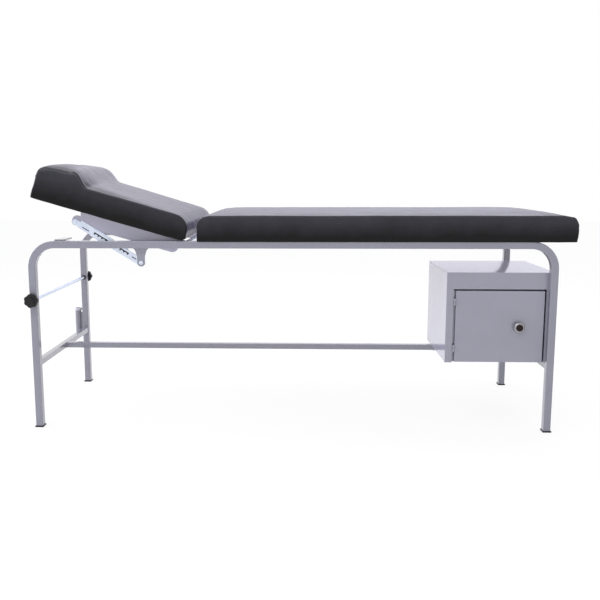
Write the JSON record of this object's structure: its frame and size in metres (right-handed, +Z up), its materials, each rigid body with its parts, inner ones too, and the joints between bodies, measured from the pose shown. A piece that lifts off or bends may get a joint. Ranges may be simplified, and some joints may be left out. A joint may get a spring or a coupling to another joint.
{
  "type": "examination table",
  "caption": "Examination couch on a bent-tube frame with a flat padded seat, a ratchet backrest with a raised pillow, a paper-roll rod and a small cabinet under the foot end.",
  "frame": {"origin": "on the floor, midway between the four legs", "axes": "+X to the foot end, -Y to the front with the cabinet door, +Z up"},
  "size_m": [1.8835, 0.6408, 0.917],
  "materials": {
    "grey_paint": "glossy light grey enamel",
    "vinyl": "smooth black vinyl-coated upholstery fabric",
    "board": "plain plywood",
    "zinc": "bright zinc plate",
    "black_plastic": "black moulded plastic",
    "pale_plastic": "light grey moulded plastic",
    "chrome": "satin",
    "brown_inlay": "glossy brown"
  },
  "bodies": {
    "frame": {"back_pivot_rod": "zinc", "cabinet_back": "grey_paint", "cabinet_body": "grey_paint", "cabinet_floor_bolts": "zinc", "cabinet_leg_bolts": "zinc", "cabinet_top": "grey_paint", "crossbar_foot": "grey_paint", "crossbar_head": "grey_paint", "door_catch": "black_plastic", "drip_socket": "grey_paint", "drip_socket_collar": "pale_plastic", "drip_socket_web": "grey_paint", "glide_foot_front": "black_plastic", "glide_foot_rear": "black_plastic", "glide_head_front": "black_plastic", "glide_head_rear": "black_plastic", "hinge_frame_leaves": "grey_paint", "hinge_pins": "grey_paint", "lower_rivet_front": "zinc", "lower_rivet_rear": "zinc", "pivot_spacer_front": "zinc", "pivot_spacer_rear": "zinc", "ratchet_bracket_front": "grey_paint", "ratchet_bracket_rear": "grey_paint", "rod_bush_front": "black_plastic", "rod_bush_rear": "black_plastic", "seat_board": "board", "seat_crossbar_foot": "grey_paint", "seat_crossbar_head": "grey_paint", "seat_crossbar_middle": "grey_paint", "seat_cushion": "vinyl", "seat_screws": "zinc", "side_frame_front": "grey_paint", "side_frame_rear": "grey_paint", "stop_tab_front": "grey_paint", "stop_tab_rear": "grey_paint", "stretcher": "grey_paint"},
    "backrest": {"back_plate_front": "grey_paint", "back_plate_rear": "grey_paint", "back_crossbar_low": "grey_paint", "back_crossbar_high": "grey_paint", "back_board": "board", "back_cushion": "vinyl", "back_screws": "zinc", "upper_rivet_front": "zinc", "upper_rivet_rear": "zinc"},
    "ratchet_lower_front": {"ratchet_lower_front": "zinc"},
    "ratchet_lower_rear": {"ratchet_lower_rear": "zinc"},
    "ratchet_upper_front": {"ratchet_upper_front": "zinc"},
    "ratchet_upper_rear": {"ratchet_upper_rear": "zinc"},
    "paper_rod": {"paper_rod": "zinc", "rod_knob_front": "black_plastic", "rod_knob_rear": "black_plastic"},
    "door": {"cabinet_door": "grey_paint", "hinge_door_leaves": "grey_paint", "door_handle": "chrome", "door_handle_inlay": "brown_inlay", "door_strike": "zinc"}
  },
  "joints": [
    {"name": "back_tilt", "type": "hinge", "parent": "frame", "child": "backrest", "pos_m": [-0.366, 0, 0.6465], "axis": [0, 1, 0], "range_deg": [-15.1, 24]},
    {"name": "ratchet_lower_front", "type": "hinge", "parent": "frame", "child": "ratchet_lower_front", "pos_m": [-0.512, 0, 0.583], "axis": [0, 1, 0], "range_deg": [-20, 31.2]},
    {"name": "ratchet_upper_front", "type": "hinge", "parent": "backrest", "child": "ratchet_upper_front", "pos_m": [-0.73763, 0, 0.72185], "axis": [0, 1, 0], "range_deg": [-4.7, 7.2]},
    {"name": "ratchet_lower_rear", "type": "hinge", "parent": "frame", "child": "ratchet_lower_rear", "pos_m": [-0.512, 0, 0.583], "axis": [0, 1, 0], "range_deg": [-20, 31.2]},
    {"name": "ratchet_upper_rear", "type": "hinge", "parent": "backrest", "child": "ratchet_upper_rear", "pos_m": [-0.73763, 0, 0.72185], "axis": [0, 1, 0], "range_deg": [-4.7, 7.2]},
    {"name": "paper_rod_spin", "type": "hinge", "parent": "frame", "child": "paper_rod", "pos_m": [-0.885, 0, 0.455], "axis": [0, 1, 0], "continuous": true},
    {"name": "door_swing", "type": "hinge", "parent": "frame", "child": "door", "pos_m": [0.5605, -0.2727, 0.36], "axis": [0, 0, -1], "range_deg": [0, 110]}
  ],
  "couplings": [
    {"joint": "ratchet_lower_front", "follows": "back_tilt", "ratio": 1.29},
    {"joint": "ratchet_upper_front", "follows": "back_tilt", "ratio": 0.29},
    {"joint": "ratchet_lower_rear", "follows": "back_tilt", "ratio": 1.29},
    {"joint": "ratchet_upper_rear", "follows": "back_tilt", "ratio": 0.29}
  ]
}
